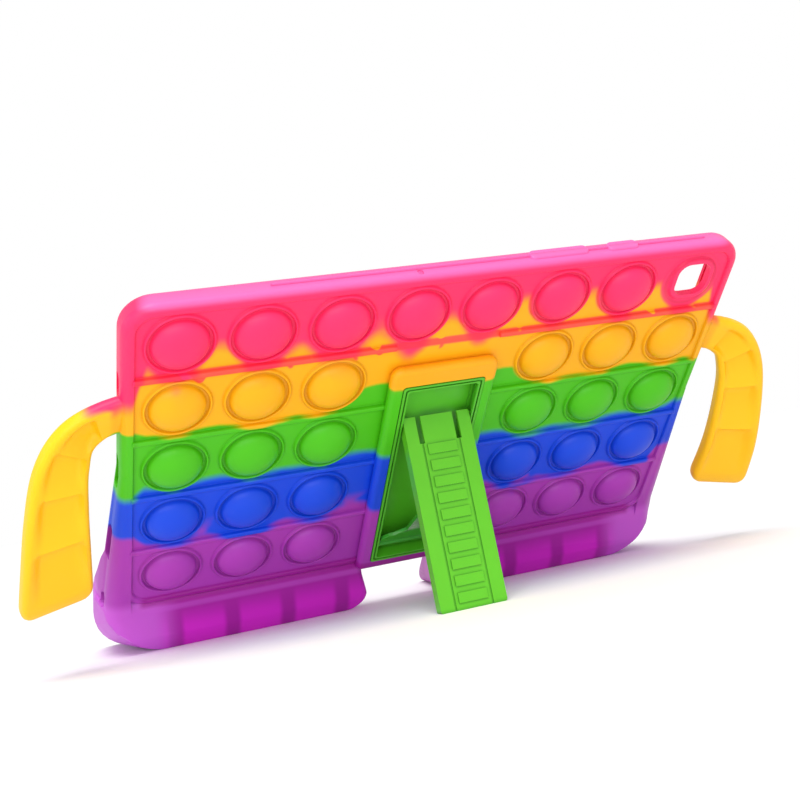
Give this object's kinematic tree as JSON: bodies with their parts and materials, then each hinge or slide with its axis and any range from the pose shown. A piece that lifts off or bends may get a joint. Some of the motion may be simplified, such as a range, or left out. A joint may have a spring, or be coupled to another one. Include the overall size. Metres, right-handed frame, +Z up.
{
  "type": "tablet stand case",
  "caption": "Soft silicone bubble case for a ten-inch tablet with arm handles, broad wedge feet and a fold-out plastic kickstand.",
  "frame": {"origin": "on the ground, under the middle of the whole object's outline", "axes": "+X to the right as seen from the back, +Y towards the screen side, +Z up; the case stands on its feet and its kickstand"},
  "size_m": [0.3318, 0.1844, 0.1325],
  "materials": {
    "silicone": "satin, rainbow bands from pink to purple",
    "frame_plastic": "semi-gloss",
    "brace_plastic": "gloss",
    "leg_plastic": "semi-gloss"
  },
  "bodies": {
    "case": {"silicone_case": "silicone", "stand_frame": "frame_plastic"},
    "brace": {"stand_brace": "brace_plastic"},
    "leg": {"stand_leg": "leg_plastic"}
  },
  "joints": [
    {"name": "brace_fold", "type": "hinge", "parent": "case", "child": "brace", "pos_m": [0, 0.01259, 0.02823], "axis": [1, 0, 0], "range_deg": [-23.11, 0]},
    {"name": "leg_fold", "type": "hinge", "parent": "brace", "child": "leg", "pos_m": [0, -0.04226, 0.04737], "axis": [1, 0, 0], "range_deg": [0, 75.56]}
  ],
  "couplings": [
    {"joint": "leg_fold", "follows": "brace_fold", "ratio": -3.2624}
  ]
}
